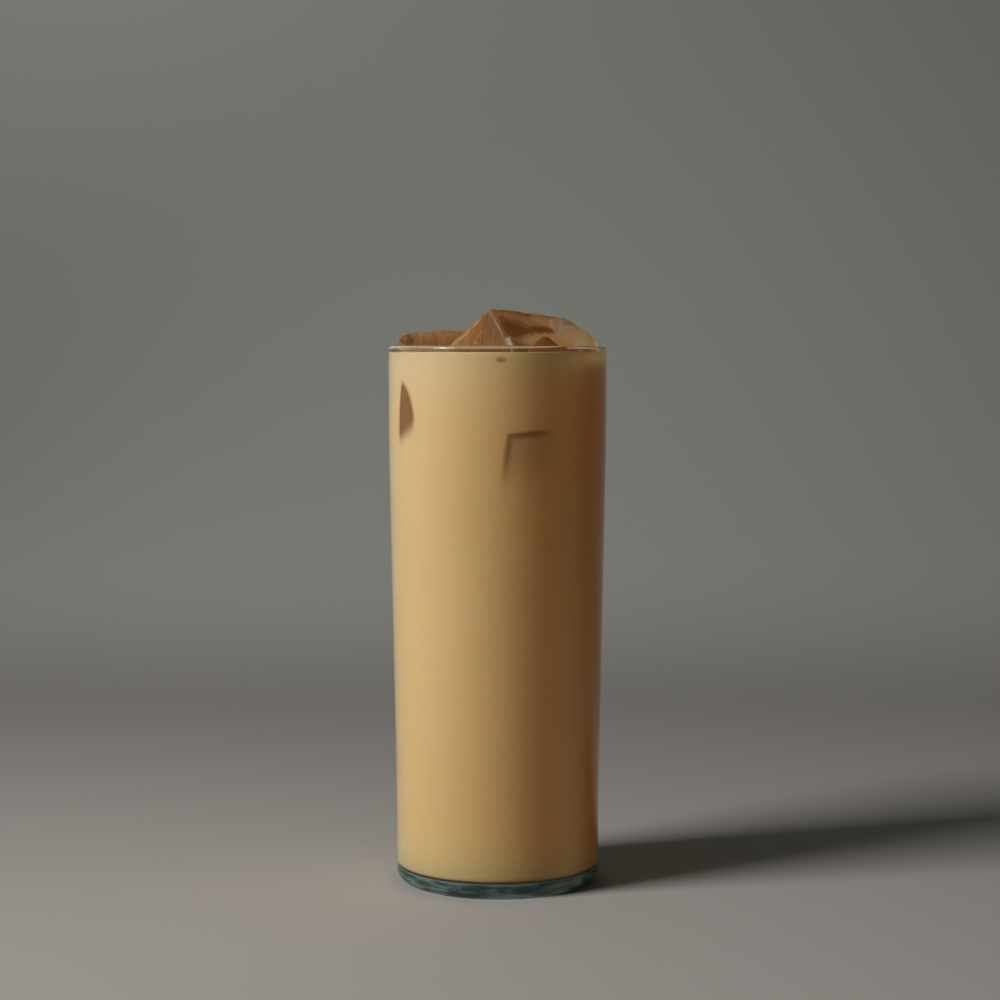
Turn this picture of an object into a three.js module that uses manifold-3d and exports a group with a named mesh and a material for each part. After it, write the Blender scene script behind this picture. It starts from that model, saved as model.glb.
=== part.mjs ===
// A tall glass of iced milk coffee, filled to the brim, with ice standing above the rim.
// Units are millimetres and +Z is up. The origin is the centre of the glass's foot, on the table.
// +X is to the viewer's right and the viewer stands at -Y.

import * as THREE from 'three';
import { ConvexGeometry } from 'three/addons/geometries/ConvexGeometry.js';
import { mergeVertices } from 'three/addons/utils/BufferGeometryUtils.js';
import Module from 'manifold-3d';

// Driving dimensions of the glass
const GLASS_HEIGHT = 153.2;
const RIM_RADIUS = 31;
const FOOT_RADIUS = 29;
const FOOT_CORNER = 3.6;
const RIM_WALL = 1.7;
const FOOT_WALL = 2.2;
const FLOOR_THICKNESS = 4.3;
const FLOOR_CORNER = 2.4;
// The wall is upright below and above these two heights, and leans out between them.
const LEAN_START = 25;
const LEAN_END = 127;
const LEAN_SOFTENING = 10;
// A shallow hollow under the foot leaves a flat ring to stand on.
const STANDING_RING_INNER = 20;
const UNDERSIDE_HOLLOW = 0.8;
const LATHE_SEGMENTS = 64;

// Driving dimensions of the drink
const CONTACT_GAP = 0.3;
const LEVEL_BELOW_RIM = 2.5;
const MENISCUS_RISE = 0.8;
const MENISCUS_WIDTH = 3;

// The drink's free surface
const LEVEL = GLASS_HEIGHT - LEVEL_BELOW_RIM;

// Each block of ice is a cuboid with its edges melted round. size is its width, depth and height,
// melt is the radius of its edges, narrowing is the share by which its bottom is smaller than its
// top, at is its centre, and turn is how far it is turned, in degrees, first about X, then Y and Z.
// A block is notched by those before it in this list.
const ICE = [
  {
    name: 'ice_peak', size: [26, 24, 22], melt: 1.5, narrowing: 0,
    at: [6.1, -4.5, 147.1], turn: [-45, 5, 39],
  },
  {
    name: 'ice_mound', size: [16, 14, 16], melt: 1.5, narrowing: 0,
    at: [-2.6, -5.2, 151.2], turn: [0, -43, -17],
  },
  {
    name: 'ice_left', size: [22, 16, 17], melt: 2.6, narrowing: 0.2,
    at: [-16.7, 1.5, 148.8], turn: [0, -2, 4],
  },
  {
    name: 'ice_right', size: [18.5, 16, 19], melt: 5.5, narrowing: 0,
    at: [17.6, 2.4, 150.8], turn: [0, 33, 6],
  },
  {
    name: 'ice_chip', size: [9, 9, 9], melt: 1.3, narrowing: 0,
    at: [13.2, -18.2, 149.1], turn: [45, -35, 30],
  },
];

// The eight corners of a cuboid, as steps from its centre
const ENDS = [-1, 1];
const CORNERS = ENDS.flatMap((x) => ENDS.flatMap((y) => ENDS.map((z) => [x, y, z])));

const wasm = await Module();
wasm.setup();

// Closed triangle geometry as a solid that can be joined and cut
function toSolid(geometry) {
  const bare = geometry.index ? geometry.toNonIndexed() : geometry.clone();
  bare.deleteAttribute('normal');
  bare.deleteAttribute('uv');
  const merged = mergeVertices(bare, 1e-3);
  const kept = [];
  const index = merged.index.array;
  for (let i = 0; i < index.length; i += 3) {
    const [a, b, c] = [index[i], index[i + 1], index[i + 2]];
    if (a !== b && b !== c && c !== a) kept.push(a, b, c);
  }
  return new wasm.Manifold(
    new wasm.Mesh({
      numProp: 3,
      vertProperties: merged.attributes.position.array,
      triVerts: new Uint32Array(kept),
    }),
  );
}

// A solid as geometry for a mesh
function toGeometry(solid) {
  const { vertProperties, triVerts } = solid.getMesh();
  const geometry = new THREE.BufferGeometry();
  geometry.setAttribute('position', new THREE.BufferAttribute(vertProperties, 3));
  geometry.setIndex(new THREE.BufferAttribute(triVerts, 1));
  geometry.computeVertexNormals();
  return geometry;
}

// A half-section drawn as a path of radius and height, turned about the Z axis
function turned(path, curvePoints) {
  const section = path.getPoints(curvePoints);
  const geometry = new THREE.LatheGeometry(section, LATHE_SEGMENTS);
  geometry.rotateX(Math.PI / 2);
  return toSolid(geometry);
}

// An upright wall that leans from one radius to another, with both bends softened.
// direction is 1 going up and -1 going down.
function leaningWall(path, lowRadius, highRadius, direction, endHeight) {
  const slope = (highRadius - lowRadius) / (LEAN_END - LEAN_START);
  const soft = LEAN_SOFTENING;
  const radiusAt = (z) => lowRadius + slope * (z - LEAN_START);
  const lower = [
    [lowRadius, LEAN_START - soft],
    [lowRadius, LEAN_START],
    [radiusAt(LEAN_START + soft), LEAN_START + soft],
  ];
  const upper = [
    [radiusAt(LEAN_END - soft), LEAN_END - soft],
    [highRadius, LEAN_END],
    [highRadius, LEAN_END + soft],
  ];
  const bends = direction > 0
    ? [lower, upper]
    : [upper.toReversed(), lower.toReversed()];
  for (const [from, bend, to] of bends) {
    path.lineTo(...from);
    path.quadraticCurveTo(...bend, ...to);
  }
  path.lineTo(direction > 0 ? highRadius : lowRadius, endHeight);
}

function glassSection() {
  const lip = RIM_WALL / 2;
  const innerRim = RIM_RADIUS - RIM_WALL;
  const innerFoot = FOOT_RADIUS - FOOT_WALL;
  const path = new THREE.Path();
  path.moveTo(0, UNDERSIDE_HOLLOW);
  path.quadraticCurveTo(STANDING_RING_INNER * 0.8, UNDERSIDE_HOLLOW, STANDING_RING_INNER, 0);
  path.lineTo(FOOT_RADIUS - FOOT_CORNER, 0);
  path.absarc(FOOT_RADIUS - FOOT_CORNER, FOOT_CORNER, FOOT_CORNER, -Math.PI / 2, 0);
  leaningWall(path, FOOT_RADIUS, RIM_RADIUS, 1, GLASS_HEIGHT - lip);
  path.absarc(RIM_RADIUS - lip, GLASS_HEIGHT - lip, lip, 0, Math.PI);
  leaningWall(path, innerFoot, innerRim, -1, FLOOR_THICKNESS + FLOOR_CORNER);
  path.quadraticCurveTo(innerFoot, FLOOR_THICKNESS, innerFoot - FLOOR_CORNER, FLOOR_THICKNESS);
  path.lineTo(0, FLOOR_THICKNESS);
  return path;
}

function drinkSection() {
  const footRadius = FOOT_RADIUS - FOOT_WALL - CONTACT_GAP;
  const topRadius = RIM_RADIUS - RIM_WALL - CONTACT_GAP;
  const floor = FLOOR_THICKNESS + CONTACT_GAP;
  const corner = FLOOR_CORNER - CONTACT_GAP;
  const path = new THREE.Path();
  path.moveTo(0, floor);
  path.lineTo(footRadius - corner, floor);
  path.quadraticCurveTo(footRadius, floor, footRadius, floor + corner);
  leaningWall(path, footRadius, topRadius, 1, LEVEL + MENISCUS_RISE);
  path.quadraticCurveTo(topRadius, LEVEL, topRadius - MENISCUS_WIDTH, LEVEL);
  path.lineTo(0, LEVEL);
  return path;
}

// A block of ice is the hull of eight balls, one at each corner. grow makes it larger all round.
function iceBlock(block, grow = 0) {
  const ball = new THREE.IcosahedronGeometry(block.melt + grow, 2).attributes.position;
  const reach = new THREE.Vector3(...block.size).multiplyScalar(0.5).subScalar(block.melt);
  const points = [];
  for (const [right, back, top] of CORNERS) {
    const share = top > 0 ? 1 : 1 - block.narrowing;
    const corner = new THREE.Vector3(right * share, back * share, top).multiply(reach);
    for (let i = 0; i < ball.count; i += 1) {
      points.push(new THREE.Vector3().fromBufferAttribute(ball, i).add(corner));
    }
  }
  const geometry = new ConvexGeometry(points);
  const [x, y, z] = block.turn.map(THREE.MathUtils.degToRad);
  geometry.applyMatrix4(new THREE.Matrix4().makeRotationFromEuler(new THREE.Euler(x, y, z, 'ZYX')));
  geometry.translate(...block.at);
  return toSolid(geometry);
}

// A solid without the blocks in a list, each with the contact gap round it
function clearOf(solid, blocks) {
  return blocks.reduce((rest, block) => rest.subtract(iceBlock(block, CONTACT_GAP)), solid);
}

const materials = {
  glass: new THREE.MeshStandardMaterial({
    color: 0xa9c4b8, roughness: 0.02, metalness: 0, transparent: true, opacity: 0.35,
  }),
  drink: new THREE.MeshStandardMaterial({ color: 0xc4a376, roughness: 0.35, metalness: 0 }),
  ice: new THREE.MeshStandardMaterial({
    color: 0x8a5f38, roughness: 0.08, metalness: 0, transparent: true, opacity: 0.8,
  }),
};

function piece(name, solid, material) {
  const mesh = new THREE.Mesh(toGeometry(solid), material);
  mesh.name = name;
  return mesh;
}

const CURVE_POINTS = 4;
const icedCoffee = new THREE.Group();
icedCoffee.add(piece('glass', turned(glassSection(), CURVE_POINTS), materials.glass));
icedCoffee.add(piece('drink', clearOf(turned(drinkSection(), CURVE_POINTS), ICE), materials.drink));
ICE.forEach((block, place) => {
  const solid = clearOf(iceBlock(block), ICE.slice(0, place));
  icedCoffee.add(piece(block.name, solid, materials.ice));
});

export default icedCoffee;
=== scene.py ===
import itertools
import math

import bmesh
import bpy
import numpy as np
from mathutils import Euler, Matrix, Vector, noise
from mathutils.bvhtree import BVHTree


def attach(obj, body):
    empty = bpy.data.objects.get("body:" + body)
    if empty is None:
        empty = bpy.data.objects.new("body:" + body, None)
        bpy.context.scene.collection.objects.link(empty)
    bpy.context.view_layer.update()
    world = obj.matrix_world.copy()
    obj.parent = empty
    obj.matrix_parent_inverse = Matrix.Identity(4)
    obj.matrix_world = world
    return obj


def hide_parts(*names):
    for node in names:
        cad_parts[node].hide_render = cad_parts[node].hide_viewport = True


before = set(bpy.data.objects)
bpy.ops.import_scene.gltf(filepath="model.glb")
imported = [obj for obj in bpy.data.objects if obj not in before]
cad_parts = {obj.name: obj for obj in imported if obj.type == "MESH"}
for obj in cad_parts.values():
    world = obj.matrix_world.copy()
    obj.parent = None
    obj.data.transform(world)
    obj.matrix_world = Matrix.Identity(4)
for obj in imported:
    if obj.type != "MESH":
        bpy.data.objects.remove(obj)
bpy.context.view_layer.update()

MM = 0.001

# The glass, as in the frame: the wall is upright at its foot and rim and leans out in between
GLASS_HEIGHT = 153.2
RIM_RADIUS = 31.0
FOOT_RADIUS = 29.0
FOOT_CORNER = 3.6
RIM_WALL = 1.7
FOOT_WALL = 2.2
FLOOR_THICKNESS = 4.3
FLOOR_CORNER = 2.4
LEAN_START = 25.0
LEAN_END = 127.0
LEAN_SOFTENING = 10.0
STANDING_RING_INNER = 20.0
UNDERSIDE_HOLLOW = 0.8

# The drink reaches a little way into the wall, so that no air gap shows
INTO_WALL = 0.15
LEVEL_BELOW_RIM = 2.5
LEVEL = GLASS_HEIGHT - LEVEL_BELOW_RIM
MENISCUS_RISE = 0.8
MENISCUS_WIDTH = 3.0

# The drink also climbs up the ice, and covers the sunk ice with a thin film at the wall
ICE_MENISCUS_RISE = 0.55
ICE_MENISCUS_WIDTH = 0.8
FILM_OVER_ICE = 0.1

# Melting: the cell that the blocks are rebuilt with, the rounds of smoothing, and the dents
MELT_CELL = 0.4
MELT_ROUNDS = 14
WIDE_DENTS, WIDE_DENTS_SCALE = 0.42, 110
FINE_DENTS, FINE_DENTS_SCALE = 0.06, 420

# The meshes: faces round a turned piece, the length of faces up its wall, and a ring close to each
# end of the wall, which keeps the shading of the round corners off it
SEGMENTS = 256
WALL_STEP = 4.0
SURFACE_STEP = 0.3
END_RING = 0.3

# The heights between which the glass's cloudy foot and the painted shade at the drink's bottom edge
# fade out
FOOT_TOP = (FLOOR_THICKNESS + 0.3, FLOOR_THICKNESS + 1.1)
BOTTOM_SHADE_HEIGHTS = (FLOOR_THICKNESS + 0.6, FLOOR_THICKNESS + 1.4)

# Light would come straight through the drink's thin edges, so it scatters less as far as this
# under the surface and above the floor
EDGE_UNDER_SURFACE = 22
EDGE_ABOVE_FLOOR = 4

# How far light scatters inside, in millimetres, and the shares of it that red, green and blue go
FOOT_SCATTER, FOOT_SCATTER_SHARES = 20, (0.8, 1.0, 0.95)
DRINK_SCATTER, DRINK_SCATTER_SHARES = 28, (1.0, 0.6, 0.3)
ICE_SCATTER, ICE_SCATTER_SHARES = 6, (1.0, 0.6, 0.35)

# Bending of light
GLASS_INDEX = 1.5
DRINK_INDEX = 1.34
ICE_INDEX = 1.31

# Each mark inside the ice fades in from the first of these shares of its size to the second, and its
# edge waves this far
MARK_EDGE = (1.35, 0.75)
MARK_WAVES = 1.6

# Colours, as the shaders take them
WALL_TINT = (0.985, 0.995, 0.985, 1)
# The foot's own green, made dark by painted shade, and its streaks of painted light
FOOT_SHADED_GREEN = (0.055, 0.12, 0.10, 1)
FOOT_LIT_GREEN = (0.30, 0.46, 0.43, 1)
DRINK_HIGH = (0.67, 0.485, 0.22, 1)
DRINK_LOW = (0.67, 0.455, 0.175, 1)
# Painted shade along the drink's bottom edge, where it sits on the glass
DRINK_BOTTOM_SHADE = (0.06, 0.025, 0.012, 1)
PAPER_ON_TABLE = (0.61, 0.572, 0.535, 1)
PAPER_BEHIND = (0.90, 0.88, 0.82, 1)
ICE_SHADOW = (0.90, 0.80, 0.66, 1)
SUNK_BROWN = (0.21, 0.078, 0.026, 1)
SUNK_SHADE = (0.20, 0.09, 0.03, 1)
RED_BROWN = (0.36, 0.19, 0.09, 1)
# Painted shade along the waterline of the ice, in the middle and on the right
WATERLINE_SHADE = (0.38, 0.16, 0.035, 1)
LIGHT_BROWN = (0.82, 0.58, 0.34, 1)
GREY_BROWN = (0.55, 0.37, 0.23, 1)
TAN = (0.97, 0.79, 0.49, 1)
# White for cracks and bubbles in the ice, and for painted highlights
WHITE_FLAWS_AND_HIGHLIGHTS = (0.95, 0.90, 0.80, 1)

# Shares of light: what passes through the foot, what scatters in it, how strong the painted shade
# along the drink's bottom edge is, and what passes through the ice
FOOT_CLEAR = 0.4
FOOT_CLOUDY = 0.9
BOTTOM_SHADE_STRENGTH = 0.9
ICE_GLOW = 0.6

# The two browns of the streaks in each block of ice that stands out of the drink
ICE = {
    "ice_peak": ((0.38, 0.215, 0.10, 1), (0.56, 0.36, 0.19, 1)),
    "ice_mound": ((0.55, 0.35, 0.16, 1), (0.72, 0.51, 0.26, 1)),
    "ice_left": ((0.52, 0.32, 0.15, 1), (0.70, 0.49, 0.27, 1)),
    "ice_right": ((0.87, 0.74, 0.52, 1), (0.95, 0.86, 0.65, 1)),
    "ice_chip": ((0.34, 0.17, 0.06, 1), (0.46, 0.25, 0.09, 1)),
}

# Cloudy patches, cracks, painted highlights and painted shade in the ice, as the front shows them:
# how far across and up, how far it reaches along and across itself, how far it is turned, its colour
# and how strongly it shows
ICE_MARKS = {
    "ice_peak": (
        (8.5, 160.4, 9.0, 1.1, -13, LIGHT_BROWN, 0.8),
        (13.0, 160.4, 3.6, 1.1, -16, TAN, 0.6),
        (8.0, 159.0, 8.2, 0.6, -13, GREY_BROWN, 0.8),
        (5.6, 157.2, 5.0, 1.8, -25, RED_BROWN, 0.9),
        (12.6, 157.6, 3.6, 0.9, -13, RED_BROWN, 0.8),
        (16.5, 154.9, 9.6, 1.9, 0, TAN, 0.9),
        # A painted highlight: the white glint low on the peak's front edge
        (3.3, 154.4, 0.6, 1.2, 10, WHITE_FLAWS_AND_HIGHLIGHTS, 1.0),
        (6.0, 151.9, 15.0, 1.0, 0, WATERLINE_SHADE, 0.7),
    ),
    "ice_mound": (
        (-4.9, 156.4, 1.3, 0.16, 52, WHITE_FLAWS_AND_HIGHLIGHTS, 0.45),
        (-6.3, 154.4, 1.4, 0.14, 60, WHITE_FLAWS_AND_HIGHLIGHTS, 0.45),
        (-5.6, 153.8, 0.9, 0.2, -20, WHITE_FLAWS_AND_HIGHLIGHTS, 0.3),
        (-4.0, 151.9, 9.0, 0.9, 0, WATERLINE_SHADE, 0.5),
    ),
    "ice_left": (
        (-25.5, 154.8, 2.0, 1.4, 0, SUNK_BROWN, 0.6),
        # A painted highlight along the slab's right edge, and painted light along its waterline on
        # the lit side
        (-11.6, 155.0, 2.0, 0.3, 50, WHITE_FLAWS_AND_HIGHLIGHTS, 0.35),
        (-20.0, 151.9, 9.0, 0.9, 0, WHITE_FLAWS_AND_HIGHLIGHTS, 0.7),
    ),
    "ice_right": (
        (15.0, 158.2, 2.0, 3.4, -20, GREY_BROWN, 0.75),
        (17.5, 160.6, 4.2, 0.8, -20, GREY_BROWN, 0.5),
        # White specks, partly bubbles and partly painted highlights
        (23.0, 155.2, 2.6, 2.2, -40, WHITE_FLAWS_AND_HIGHLIGHTS, 0.45),
        (20.5, 158.6, 0.9, 0.4, -20, WHITE_FLAWS_AND_HIGHLIGHTS, 0.5),
        (24.0, 157.4, 1.1, 0.5, -35, WHITE_FLAWS_AND_HIGHLIGHTS, 0.5),
        (26.3, 155.4, 0.8, 0.5, -50, WHITE_FLAWS_AND_HIGHLIGHTS, 0.5),
        (20.0, 151.9, 11.0, 1.0, 0, WATERLINE_SHADE, 0.75),
    ),
    "ice_chip": (
        (13.0, 151.9, 6.0, 0.9, 0, WATERLINE_SHADE, 0.5),
    ),
}

# Sunk ice shows through the drink where it comes close to the wall. Each patch is bounded by arcs
# on the wall: a point on the arc, in millimetres round the wall to the right and up from the foot,
# the way the arc faces in degrees, how far it bulges as a radius, and how softly it ends. The
# drink is darkest along the first two arcs, by line, and inside them it is darkened by fill.
SUNK_ICE = {
    "ice_sunk_left": {
        "size": (14, 15, 19), "at": (-18.6, -12.6, 134.5), "turn": (8, 6, 33),
        "arcs": (
            (-26.8, 138.3, 24, 14.2, 2.0), (-32.6, 135.0, 175, 60, 1.2), (-29.2, 128.7, -60, 30, 5.0),
            (-30.7, 143.4, 80, 20.0, 3.5),
        ),
        "line": 0.95, "fill": 0.85, "line_width": 0.9, "colour": SUNK_BROWN,
    },
    "ice_sunk_right": {
        "size": (20, 16, 22), "at": (11.6, -18.2, 118.0), "turn": (0, 2, 20),
        "arcs": (
            (2.6, 129.4, 96.5, 300, 0.9), (2.6, 129.4, 171.6, 300, 1.7),
            (14.0, 122.0, 0, 100, 9.0), (7.0, 118.0, -90, 100, 13.0),
        ),
        "line": 0.72, "fill": 0.24, "line_width": 1.5, "colour": SUNK_SHADE,
    },
    "ice_sunk_front": {
        "size": (6, 6, 6), "at": (0.9, -25.0, 145.8), "turn": (35, 0, 10),
        "arcs": ((0.9, 150.2, 90, 2.1, 0.8), (0.9, 148.7, -90, 2.1, 0.8)),
        "line": 0.6, "fill": 0.6, "line_width": 0.5, "colour": SUNK_SHADE,
    },
}


# Meshes

def bend(start, turn, end, steps=10):
    """Points of a quadratic curve from start to end, drawn towards turn."""
    points = []
    for i in range(1, steps + 1):
        t = i / steps
        points.append(tuple(
            (1 - t) ** 2 * a + 2 * t * (1 - t) * b + t * t * c for a, b, c in zip(start, turn, end)
        ))
    return points


def arc(centre, radius, first, last, steps=12):
    """Points of a round corner between two angles in degrees."""
    angles = [math.radians(first + (last - first) * i / steps) for i in range(steps + 1)]
    return [(centre[0] + radius * math.cos(a), centre[1] + radius * math.sin(a)) for a in angles]


def straight(start, end, step):
    """Points along a line, about a step apart, without the first."""
    count = max(1, round(math.dist(start, end) / step))
    return [tuple(a + (b - a) * i / count for a, b in zip(start, end)) for i in range(1, count + 1)]


def leaning_wall(low, high, foot, top):
    """The wall's outline going up from height foot to height top, leaning from radius low to high."""
    slope = (high - low) / (LEAN_END - LEAN_START)
    bend_low = [
        (low, LEAN_START - LEAN_SOFTENING),
        (low, LEAN_START),
        (low + slope * LEAN_SOFTENING, LEAN_START + LEAN_SOFTENING),
    ]
    bend_high = [
        (high - slope * LEAN_SOFTENING, LEAN_END - LEAN_SOFTENING),
        (high, LEAN_END),
        (high, LEAN_END + LEAN_SOFTENING),
    ]
    points = [(low, foot), (low, foot + END_RING)]
    for bent in (bend_low, bend_high):
        points += straight(points[-1], bent[0], WALL_STEP) + bend(*bent)
    return points + straight(points[-1], (high, top - END_RING), WALL_STEP) + [(high, top)]


def mesh_object(name, points, faces):
    """A smooth object with these points, in metres."""
    mesh = bpy.data.meshes.new(name)
    mesh.from_pydata([tuple(p) for p in points], [], faces)
    mesh.polygons.foreach_set("use_smooth", [True] * len(mesh.polygons))
    mesh.update()
    made = bpy.data.objects.new(name, mesh)
    bpy.context.scene.collection.objects.link(made)
    return made


def turned(name, section):
    """A closed surface: radius and height pairs from axis to axis, turned about Z."""
    rings = section[1:-1]
    points = [(0.0, 0.0, section[0][1] * MM), (0.0, 0.0, section[-1][1] * MM)]
    for radius, height in rings:
        for k in range(SEGMENTS):
            turn = 2 * math.pi * k / SEGMENTS
            points.append((
                radius * MM * math.cos(turn), radius * MM * math.sin(turn), height * MM,
            ))
    faces = []
    last = 2 + (len(rings) - 1) * SEGMENTS
    for k in range(SEGMENTS):
        after = (k + 1) % SEGMENTS
        faces.append((0, 2 + after, 2 + k))
        faces.append((1, last + k, last + after))
        for ring in range(len(rings) - 1):
            low = 2 + ring * SEGMENTS
            high = low + SEGMENTS
            faces.append((low + k, low + after, high + after, high + k))
    return mesh_object(name, points, faces)


def with_modifiers(source, name):
    """A new object that holds the source's mesh with its modifiers applied."""
    bpy.context.view_layer.update()
    seen = source.evaluated_get(bpy.context.evaluated_depsgraph_get())
    made = bpy.data.objects.new(name, bpy.data.meshes.new_from_object(seen))
    bpy.context.scene.collection.objects.link(made)
    return made


def discard(made):
    mesh = made.data
    bpy.data.objects.remove(made)
    bpy.data.meshes.remove(mesh)


def at_vertices(made, what):
    """Three numbers for each vertex: its place is co, and its normal is normal."""
    flat = np.zeros(len(made.data.vertices) * 3)
    made.data.vertices.foreach_get(what, flat)
    return flat.reshape(-1, 3)


def set_coordinates(made, points):
    made.data.vertices.foreach_set("co", np.asarray(points, float).ravel())
    made.data.update()


# Materials

def empty_tree(name):
    """The empty node tree of a new material, and the material."""
    made = bpy.data.materials.new(name)
    made.use_nodes = True
    made.node_tree.nodes.clear()
    return made.node_tree, made


def node(tree, kind, values=(), **settings):
    """A shader node, with values for its inputs by name or number, and its own settings."""
    made = tree.nodes.new(kind)
    for name, value in settings.items():
        setattr(made, name, value)
    for socket, value in dict(values).items():
        if hasattr(value, "is_linked"):
            tree.links.new(value, made.inputs[socket])
        else:
            made.inputs[socket].default_value = value
    return made


def number(tree, operation, *values, **settings):
    """The output of a Math node."""
    made = node(tree, "ShaderNodeMath", dict(enumerate(values)), operation=operation, **settings)
    return made.outputs[0]


def vector(tree, operation, *values):
    """The vector that comes out of a Vector Math node."""
    return node(tree, "ShaderNodeVectorMath", dict(enumerate(values)), operation=operation).outputs[0]


def length(tree, operation, *values):
    """The number that comes out of a Vector Math node."""
    made = node(tree, "ShaderNodeVectorMath", dict(enumerate(values)), operation=operation)
    return made.outputs["Value"]


def mixed(tree, share, first, second):
    """A colour between two others. Each may be a plain colour or another node's output."""
    return node(tree, "ShaderNodeMix", {
        "Factor": share, 6: first, 7: second,
    }, data_type="RGBA").outputs[2]


def see_through_to_lamps(tree, shader, tint=(1, 1, 1, 1)):
    """Lets a lamp's light straight through, tinted, to what stands behind glass or ice."""
    to_lamp = node(tree, "ShaderNodeLightPath").outputs["Is Shadow Ray"]
    clear = node(tree, "ShaderNodeBsdfTransparent", {"Color": tint}).outputs[0]
    return node(tree, "ShaderNodeMixShader", {0: to_lamp, 1: shader, 2: clear}).outputs[0]


def between(tree, value, low, high, at_low=0.0, at_high=1.0):
    """A value that goes smoothly from at_low to at_high."""
    return node(tree, "ShaderNodeMapRange", {
        0: value, 1: low, 2: high, 3: at_low, 4: at_high,
    }, interpolation_type="SMOOTHSTEP").outputs[0]


def object_place(tree):
    """Where a point of the surface is, as a vector and as its three numbers."""
    place = node(tree, "ShaderNodeTexCoord").outputs["Object"]
    return place, *node(tree, "ShaderNodeSeparateXYZ", {0: place}).outputs


def glass_material():
    """Clear glass, with a thick cloudy green foot, its darkness painted shade and its streaks painted
    light.
    """
    tree, made = empty_tree("clear_glass")
    place, _, _, height = object_place(tree)
    in_wall = between(tree, height, FOOT_TOP[0] * MM, FOOT_TOP[1] * MM)
    streaks = node(tree, "ShaderNodeTexNoise", {
        "Vector": vector(tree, "MULTIPLY", place, (1.0, 1.0, 5.0)), "Scale": 130.0, "Detail": 2.0,
    })
    # The foot's painted shade and its streaks of painted light
    foot = mixed(tree, between(tree, streaks.outputs[0], 0.4, 0.68), FOOT_SHADED_GREEN, FOOT_LIT_GREEN)
    glass = node(tree, "ShaderNodeBsdfPrincipled", {
        "Base Color": mixed(tree, in_wall, foot, WALL_TINT), "Roughness": 0.0, "IOR": GLASS_INDEX,
        "Transmission Weight": between(tree, in_wall, 0.0, 1.0, FOOT_CLEAR, 1.0),
        "Subsurface Weight": between(tree, in_wall, 0.0, 1.0, FOOT_CLOUDY, 0.0),
        "Subsurface Radius": FOOT_SCATTER_SHARES, "Subsurface Scale": FOOT_SCATTER * MM,
    })
    surface = see_through_to_lamps(tree, glass.outputs[0])
    node(tree, "ShaderNodeOutputMaterial", {"Surface": surface})
    return made


def seen_through_wall(tree, on_wall, patch):
    """How strongly a block of sunk ice shows at a point of the wall, from 0 to 1."""
    shown, near_line = 1.0, None
    for place, (across, up, facing, bulge, soft) in enumerate(patch["arcs"]):
        facing = math.radians(facing)
        centre = Vector((across - bulge * math.cos(facing), up - bulge * math.sin(facing), 0.0))
        away = length(tree, "DISTANCE", on_wall, centre * MM)
        inside = number(tree, "SUBTRACT", bulge * MM, away)
        shown = number(tree, "MULTIPLY", shown, between(tree, inside, -soft / 2 * MM, soft / 2 * MM))
        if place < 2:
            near_line = inside if near_line is None else number(tree, "MINIMUM", near_line, inside)
    width = patch["line_width"] * MM
    depth = between(tree, near_line, 0.6 * width, 1.6 * width, patch["line"], patch["fill"])
    return number(tree, "MULTIPLY", shown, depth)


def drink_material(name, roughness, gloss):
    """Opaque milk coffee. Where sunk ice is close to the wall, it shows through the drink."""
    tree, made = empty_tree(name)
    place, across, along, height = object_place(tree)
    rise = node(tree, "ShaderNodeMapRange", {0: height, 1: 0.0, 2: LEVEL * MM, 3: 0.0, 4: 1.0})
    swirl = node(tree, "ShaderNodeTexNoise", {
        "Vector": place, "Scale": 38.0, "Detail": 2.0, "Distortion": 0.8,
    })
    drift = node(tree, "ShaderNodeMapRange", {0: swirl.outputs[0], 1: 0.3, 2: 0.7, 3: -0.15, 4: 0.15})
    shade = number(tree, "ADD", rise.outputs[0], drift.outputs[0], use_clamp=True)
    colour = mixed(tree, shade, DRINK_LOW, DRINK_HIGH)
    turn = number(tree, "ARCTAN2", across, number(tree, "MULTIPLY", along, -1.0))
    on_wall = node(tree, "ShaderNodeCombineXYZ", {
        0: number(tree, "MULTIPLY", turn, (RIM_RADIUS - RIM_WALL) * MM), 1: height,
    }).outputs[0]
    # Painted shade along the drink's bottom edge
    bottom = between(tree, height, BOTTOM_SHADE_HEIGHTS[0] * MM, BOTTOM_SHADE_HEIGHTS[1] * MM, BOTTOM_SHADE_STRENGTH, 0.0)
    colour = mixed(tree, bottom, colour, DRINK_BOTTOM_SHADE)
    for patch in SUNK_ICE.values():
        colour = mixed(tree, seen_through_wall(tree, on_wall, patch), colour, patch["colour"])
    under = between(tree, height, (LEVEL - EDGE_UNDER_SURFACE) * MM, LEVEL * MM, 1.0, 0.0)
    above = between(tree, height, FLOOR_THICKNESS * MM, (FLOOR_THICKNESS + EDGE_ABOVE_FLOOR) * MM)
    deep = number(tree, "MULTIPLY", under, above)
    drink = node(tree, "ShaderNodeBsdfPrincipled", {
        "Base Color": colour, "Roughness": roughness, "IOR": DRINK_INDEX,
        "Subsurface Weight": deep, "Subsurface Radius": DRINK_SCATTER_SHARES,
        "Subsurface Scale": DRINK_SCATTER * MM, "Specular IOR Level": gloss,
    })
    node(tree, "ShaderNodeOutputMaterial", {"Surface": drink.outputs[0]})
    return made


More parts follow.
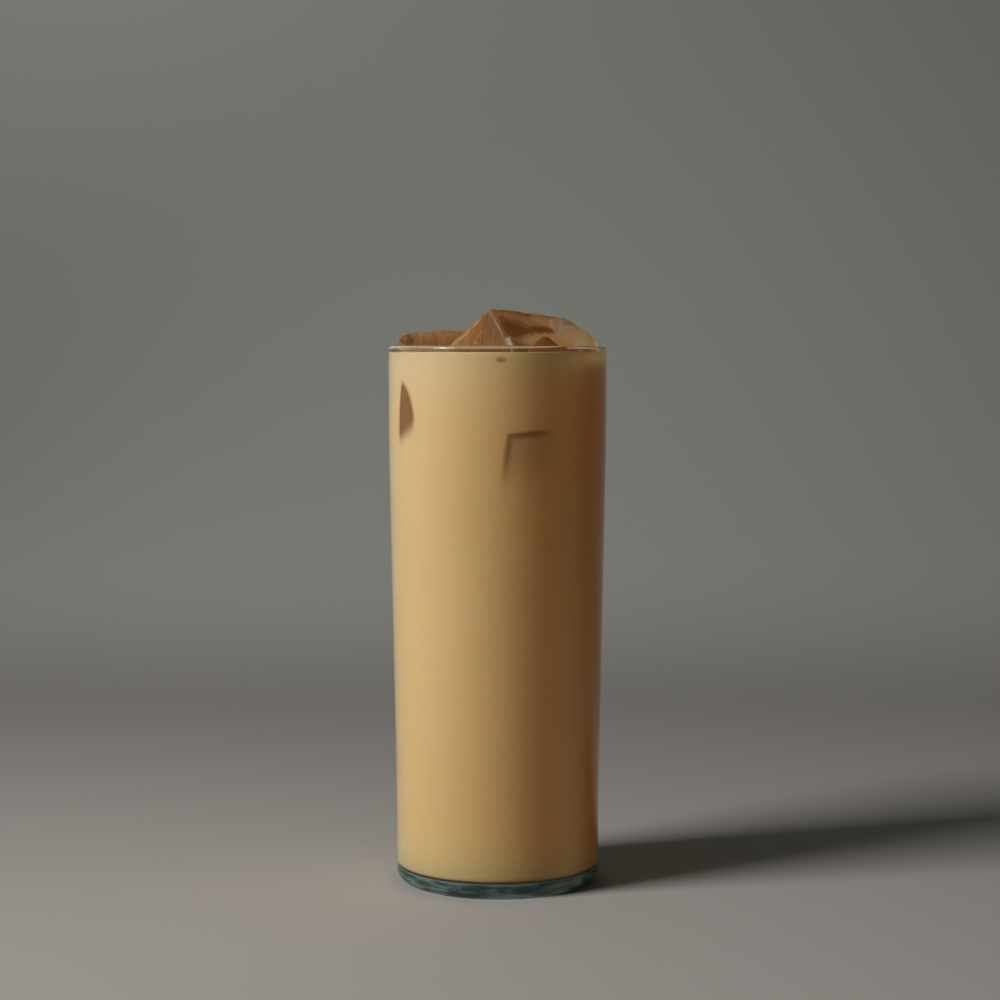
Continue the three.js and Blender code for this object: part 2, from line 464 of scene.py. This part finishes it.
def ice_material(name, dark, light, marks=()):
    """Cloudy ice stained by coffee, with upright streaks, painted highlights and painted shade, that
    lets a part of the light through.
    """
    tree, made = empty_tree("stained_" + name)
    place = node(tree, "ShaderNodeTexCoord").outputs["Object"]
    streaks = node(tree, "ShaderNodeTexNoise", {
        "Vector": vector(tree, "MULTIPLY", place, (1.0, 1.0, 0.25)),
        "Scale": 900.0, "Detail": 3.0, "Roughness": 0.6,
    })
    colour = mixed(tree, between(tree, streaks.outputs[0], 0.25, 0.75), dark, light)
    ripple = node(tree, "ShaderNodeTexNoise", {"Vector": place, "Scale": 700.0, "Detail": 1.0})
    shift = vector(tree, "SUBTRACT", ripple.outputs["Color"], (0.5, 0.5, 0.5))
    wavy = vector(tree, "MULTIPLY_ADD", shift, (MARK_WAVES * MM,) * 3, place)
    # The marks include painted highlights and painted shade along the waterline
    for across, up, reach, breadth, turn, mark_colour, strength in marks:
        inside = node(tree, "ShaderNodeMapping", {
            "Vector": wavy, "Location": (across * MM, 0.0, up * MM),
            "Rotation": (0.0, math.radians(-turn), 0.0), "Scale": (reach * MM, 1.0, breadth * MM),
        }, vector_type="TEXTURE").outputs[0]
        away = length(tree, "LENGTH", inside)
        colour = mixed(tree, between(tree, away, *MARK_EDGE, 0.0, strength), colour, mark_colour)
    ice = node(tree, "ShaderNodeBsdfPrincipled", {
        "Base Color": colour, "Roughness": 0.2, "IOR": ICE_INDEX,
        "Subsurface Weight": 1.0, "Subsurface Radius": ICE_SCATTER_SHARES,
        "Subsurface Scale": ICE_SCATTER * MM, "Specular IOR Level": 0.5,
    })
    glow = node(tree, "ShaderNodeBsdfTranslucent", {"Color": colour})
    cloudy = node(tree, "ShaderNodeMixShader", {0: ICE_GLOW, 1: ice.outputs[0], 2: glow.outputs[0]})
    surface = see_through_to_lamps(tree, cloudy.outputs[0], ICE_SHADOW)
    node(tree, "ShaderNodeOutputMaterial", {"Surface": surface})
    return made


def paper_material():
    """Grey paper, paler where it curves up."""
    tree, made = empty_tree("grey_paper")
    _, _, depth, _ = object_place(tree)
    colour = mixed(tree, between(tree, depth, *PAPER_PALES), PAPER_ON_TABLE, PAPER_BEHIND)
    paper = node(tree, "ShaderNodeBsdfPrincipled", {
        "Base Color": colour, "Roughness": 0.9, "Specular IOR Level": 0.1,
    })
    node(tree, "ShaderNodeOutputMaterial", {"Surface": paper.outputs[0]})
    return made


# The pieces

def glass_section():
    lip = RIM_WALL / 2
    rim = GLASS_HEIGHT - lip
    inner_foot = FOOT_RADIUS - FOOT_WALL
    inner_rim = RIM_RADIUS - RIM_WALL
    outside = leaning_wall(FOOT_RADIUS, RIM_RADIUS, FOOT_CORNER, rim)
    inside = leaning_wall(inner_foot, inner_rim, FLOOR_THICKNESS + FLOOR_CORNER, rim)
    points = [(0.0, UNDERSIDE_HOLLOW)]
    points += bend(
        points[0], (STANDING_RING_INNER * 0.8, UNDERSIDE_HOLLOW), (STANDING_RING_INNER, 0.0)
    )
    points += arc((FOOT_RADIUS - FOOT_CORNER, FOOT_CORNER), FOOT_CORNER, -90, 0)
    points += outside[1:]
    points += arc((RIM_RADIUS - lip, rim), lip, 0, 180)[1:]
    points += inside[-2::-1]
    points += bend(
        inside[0], (inner_foot, FLOOR_THICKNESS), (inner_foot - FLOOR_CORNER, FLOOR_THICKNESS)
    )
    points += straight(points[-1], (0.0, FLOOR_THICKNESS), WALL_STEP)
    return points


def drink_section():
    foot = FOOT_RADIUS - FOOT_WALL + INTO_WALL
    top = RIM_RADIUS - RIM_WALL + INTO_WALL
    floor = FLOOR_THICKNESS - INTO_WALL
    corner = FLOOR_CORNER + INTO_WALL
    points = [(0.0, floor)]
    points += straight(points[0], (foot - corner, floor), WALL_STEP)
    points += bend(points[-1], (foot, floor), (foot, floor + corner))
    crest = LEVEL + MENISCUS_RISE
    points += leaning_wall(foot, top, floor + corner, crest - 2 * INTO_WALL)[1:]
    points += arc((top - INTO_WALL, crest - INTO_WALL), INTO_WALL, 0, 90, 4)
    points += bend(points[-1], (top - INTO_WALL, LEVEL), (top - MENISCUS_WIDTH, LEVEL))
    points += straight(points[-1], (0.0, LEVEL), SURFACE_STEP)
    return points


def add_piece(made, slot, finish, *nodes):
    """Dresses a piece, lets it ride with the glass and hides the CAD nodes it stands for."""
    made.data.polygons.foreach_set("use_smooth", [True] * len(made.data.polygons))
    made.data.materials.clear()
    made.data.materials.append(finish)
    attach(made, "root")
    if nodes:
        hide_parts(*nodes)
    return made


def dent(made):
    """Moves a surface in and out by wide and by fine noise."""
    points = at_vertices(made, "co")
    depth = [
        WIDE_DENTS * noise.fractal(Vector(place) * WIDE_DENTS_SCALE, 1.0, 2.0, 2)
        + FINE_DENTS * noise.noise(Vector(place) * FINE_DENTS_SCALE)
        for place in points
    ]
    outwards = at_vertices(made, "normal")
    set_coordinates(made, points + outwards * (np.array(depth) * MM)[:, None])


def melted(mesh, name):
    """A mesh's form with its edges melted round and its faces uneven."""
    rough = bpy.data.objects.new("rough_" + name, mesh)
    bpy.context.scene.collection.objects.link(rough)
    remesh = rough.modifiers.new("even", "REMESH")
    remesh.mode = "VOXEL"
    remesh.voxel_size = MELT_CELL * MM
    smooth = rough.modifiers.new("melt", "SMOOTH")
    smooth.iterations = MELT_ROUNDS
    made = with_modifiers(rough, name)
    discard(rough)
    dent(made)
    return made


def sunk_block(name, block):
    """A block of ice under the surface, trimmed to stay inside the drink's wall."""
    turn = Euler([math.radians(t) for t in block["turn"]]).to_matrix()
    hull = bmesh.new()
    for steps in itertools.product((-0.5, 0.5), repeat=3):
        corner = Vector(step * side for step, side in zip(steps, block["size"]))
        hull.verts.new((turn @ corner + Vector(block["at"])) * MM)
    bmesh.ops.convex_hull(hull, input=list(hull.verts))
    mesh = bpy.data.meshes.new("rough_" + name)
    hull.to_mesh(mesh)
    hull.free()
    made = melted(mesh, name)
    points = at_vertices(made, "co")
    radius = np.hypot(points[:, 0], points[:, 1])
    slope = (RIM_RADIUS - FOOT_RADIUS) / (LEAN_END - LEAN_START)
    wall = RIM_RADIUS - RIM_WALL + np.minimum(0, points[:, 2] / MM - LEAN_END) * slope
    share = np.minimum(1, (wall - FILM_OVER_ICE) * MM / np.maximum(radius, MM))
    points[:, :2] *= share[:, None]
    set_coordinates(made, points)
    return made


def ice_pieces():
    blocks = []
    for name, (dark, light) in ICE.items():
        made = melted(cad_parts[name].data.copy(), name + "_melted")
        add_piece(made, "ice", ice_material(name, dark, light, ICE_MARKS[name]), name)
        blocks.append(made)
    sunk = ice_material("ice_sunk", *ICE["ice_chip"])
    for name, block in SUNK_ICE.items():
        add_piece(sunk_block(name, block), "ice", sunk)
    return blocks


def drink_piece(ice):
    """The drink up to its level, with its surface drawn up the wall and round the ice."""
    made = turned("milk_coffee_drink", drink_section())
    trees = [BVHTree.FromPolygons(
        [v.co.copy() for v in piece.data.vertices],
        [tuple(p.vertices) for p in piece.data.polygons],
    ) for piece in ice]
    points = at_vertices(made, "co")
    for place in points:
        if place[2] > (LEVEL - 0.01) * MM:
            near = min(tree.find_nearest(Vector(place))[3] for tree in trees)
            place[2] += ICE_MENISCUS_RISE * MM * math.exp(-near / (ICE_MENISCUS_WIDTH * MM))
    set_coordinates(made, points)
    add_piece(made, "drink", drink_material("coffee_at_the_glass", 0.5, 0.0), "drink")
    made.data.materials.append(drink_material("coffee_surface", 0.3, 0.2))
    for face in made.data.polygons:
        face.material_index = int(face.normal.z > 0.3)
    return made


# The stage: a sheet of grey paper that lies on the table and curves up behind the glass. From here
# on, lengths are in metres
SWEEP_HALF_WIDTH = 200.0
SWEEP_FRONT = -200.0
SWEEP_START = 0.30
SWEEP_RADIUS = 0.75
SWEEP_HEIGHT = 2.5
SWEEP_STEPS = 24

# The paper is dark on the table and pale behind, and changes between these two depths
PAPER_PALES = (0.3, 0.55)


def sweep():
    section = [(SWEEP_FRONT, 0.0), (SWEEP_START, 0.0)]
    for i in range(1, SWEEP_STEPS + 1):
        turn = math.pi / 2 * i / SWEEP_STEPS
        section.append((
            SWEEP_START + SWEEP_RADIUS * math.sin(turn), SWEEP_RADIUS * (1 - math.cos(turn)),
        ))
    section.append((SWEEP_START + SWEEP_RADIUS, SWEEP_HEIGHT))
    points = [(x, y, z) for y, z in section for x in (-SWEEP_HALF_WIDTH, SWEEP_HALF_WIDTH)]
    faces = [(2 * i, 2 * i + 1, 2 * i + 3, 2 * i + 2) for i in range(len(section) - 1)]
    made = mesh_object("paper_sweep", points, faces)
    made.data.materials.append(paper_material())


# The photograph's camera, fitted to the outline of the glass, with its place in millimetres
LENS = 78.8
SENSOR = 36.0
CAMERA_PLACE = (0.68, -623.5, 152.3)
CAMERA_LOOKS_DOWN = 3.94


def camera():
    data = bpy.data.cameras.new("camera")
    data.lens = LENS
    data.sensor_width = SENSOR
    data.clip_start = 0.01
    made = bpy.data.objects.new("camera", data)
    bpy.context.scene.collection.objects.link(made)
    made.location = Vector(CAMERA_PLACE) * MM
    made.rotation_euler = Euler((math.radians(90 - CAMERA_LOOKS_DOWN), 0, 0))
    bpy.context.scene.camera = made


# One large soft lamp stands on the left, a little to the front
KEY_DISTANCE = 1.05
KEY_TOWARDS_FRONT = 27
KEY_HEIGHT_ANGLE = 35
KEY_SIZE = 0.35
KEY_AIMS_FORWARD = 0.15
KEY_POWER = 1.83
KEY_SPREAD = 92

# Weak light from all sides, faintly green as the shadow shows it
ROOM_LIGHT = 0.035
ROOM_COLOUR = (0.88, 1.0, 0.86, 1)

# A narrow lamp above the viewer lights the paper behind, and nothing near the glass
PAPER_LAMP_PLACE = (-0.2, -0.3, 1.3)
PAPER_LAMP_LOOKS = (-0.15, 1.35, -0.65)
PAPER_LAMP_SIZE = 0.4
PAPER_LAMP_POWER = 0.85
PAPER_LAMP_SPREAD = 80

# A weak cool lamp on the left stands for daylight from a window, and lights nothing but the drink
SKY_TOWARDS_FRONT = 5
SKY_POWER = 1.3
SKY_COLOUR = (0.05, 0.25, 1.0)

# A weak warm lamp on the right stands for the glow that passes through the drink, and lights
# nothing else
GLOW_DISTANCE = 1.2
GLOW_TOWARDS_FRONT = 20
GLOW_HEIGHT_ANGLE = 6
GLOW_SIZE = 0.6
GLOW_POWER = 1.2
GLOW_COLOUR = (1.0, 0.40, 0.10)


def lamp(name, place, looks, size, power, spread=180):
    """A square lamp at a place, that looks in a direction."""
    data = bpy.data.lights.new(name, "AREA")
    data.size = size
    data.energy = power
    data.spread = math.radians(spread)
    made = bpy.data.objects.new(name, data)
    bpy.context.scene.collection.objects.link(made)
    made.location = place
    made.rotation_euler = Vector(looks).to_track_quat("-Z", "Y").to_euler()
    return made


def from_glass(side, rise, distance):
    """A place seen from the glass: side is the turn to the right of the viewer and rise is up."""
    side, rise = math.radians(side), math.radians(rise)
    level = math.cos(rise)
    towards = Vector((math.sin(side) * level, -math.cos(side) * level, math.sin(rise)))
    return towards * distance


def lights(drink):
    middle = Vector((0, 0, GLASS_HEIGHT / 2 * MM))
    key = from_glass(KEY_TOWARDS_FRONT - 90, KEY_HEIGHT_ANGLE, KEY_DISTANCE)
    aim = -key - Vector((0, KEY_AIMS_FORWARD, 0))
    lamp("key", middle + key, aim, KEY_SIZE, KEY_POWER, KEY_SPREAD)
    lamp(
        "paper_lamp", PAPER_LAMP_PLACE, PAPER_LAMP_LOOKS, PAPER_LAMP_SIZE, PAPER_LAMP_POWER,
        PAPER_LAMP_SPREAD,
    )
    side = from_glass(90 - GLOW_TOWARDS_FRONT, GLOW_HEIGHT_ANGLE, GLOW_DISTANCE)
    glow = lamp("glow", middle + side, -side, GLOW_SIZE, GLOW_POWER)
    glow.data.color = GLOW_COLOUR
    side = from_glass(SKY_TOWARDS_FRONT - 90, KEY_HEIGHT_ANGLE, KEY_DISTANCE)
    sky = lamp("sky", middle + side, -side, KEY_SIZE, SKY_POWER, KEY_SPREAD)
    sky.data.color = SKY_COLOUR
    lit = bpy.data.collections.new("drink_alone")
    lit.objects.link(drink)
    for each in (glow, sky):
        each.light_linking.receiver_collection = lit
        each.visible_glossy = False
    world = bpy.data.worlds.new("room")
    world.use_nodes = True
    room_light = world.node_tree.nodes["Background"].inputs
    room_light["Color"].default_value = ROOM_COLOUR
    room_light["Strength"].default_value = ROOM_LIGHT
    bpy.context.scene.world = world


bpy.context.scene.view_settings.view_transform = "Standard"
camera()
sweep()
add_piece(turned("clear_glass", glass_section()), "glass", glass_material(), "glass")
lights(drink_piece(ice_pieces()))
